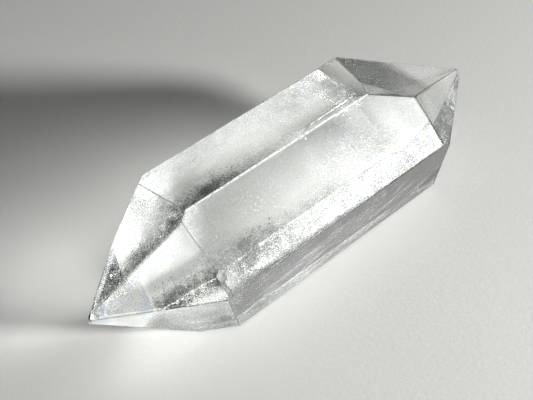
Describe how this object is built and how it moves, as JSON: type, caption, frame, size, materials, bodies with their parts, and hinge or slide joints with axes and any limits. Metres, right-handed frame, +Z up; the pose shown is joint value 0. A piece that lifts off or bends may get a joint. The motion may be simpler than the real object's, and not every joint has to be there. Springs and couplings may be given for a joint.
{
  "type": "double terminated quartz point",
  "caption": "Clear rock crystal point with six long polished faces and a six-sided pyramid at each end, lying on one long face.",
  "frame": {"origin": "on the surface that the crystal rests on, under the middle of its bounding box", "axes": "+X along the crystal from its near point to its far point, +Z up, +Y towards its back"},
  "size_m": [0.0752, 0.024, 0.0212],
  "materials": {
    "clear_quartz": "polished clear rock crystal with fine white veils, flecks and small healed fractures inside"
  },
  "bodies": {
    "root": {"quartz_point": "clear_quartz"}
  },
  "joints": []
}
